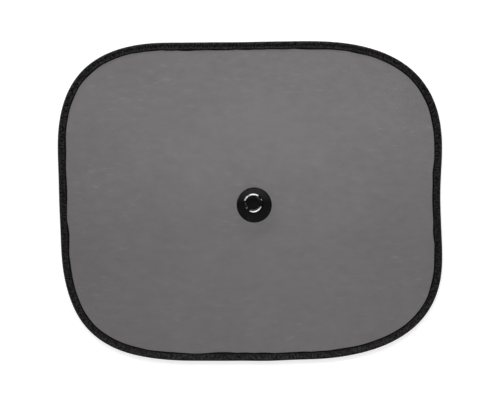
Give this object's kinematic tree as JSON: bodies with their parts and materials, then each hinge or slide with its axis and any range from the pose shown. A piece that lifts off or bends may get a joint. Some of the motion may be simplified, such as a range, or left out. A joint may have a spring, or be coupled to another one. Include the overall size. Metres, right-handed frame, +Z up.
{
  "type": "car side window sunshade",
  "caption": "Sheer black mesh window sunshade on a sprung wire hoop with a stitched edge tape and one soft suction cup in its middle.",
  "frame": {"origin": "on the surface that the shade lies on, under the middle of its width and height, with the cup up", "axes": "+X along the width, to the right as the cup's side is seen; +Y along the height, to the top of the shade; +Z up, the way the cup's mouth faces"},
  "size_m": [0.4399, 0.366, 0.013],
  "materials": {
    "mesh_fabric": "sheer warp-knitted polyester mesh",
    "edge_tape": "woven polyester tape, folded and stitched",
    "spring_steel": "drawn wire",
    "soft_pvc": "glossy soft moulding"
  },
  "bodies": {
    "root": {"mesh_panel": "mesh_fabric", "edge_binding": "edge_tape", "spring_wire": "spring_steel", "wire_ferrule": "spring_steel", "centre_patch": "edge_tape", "suction_cup": "soft_pvc"}
  },
  "joints": []
}
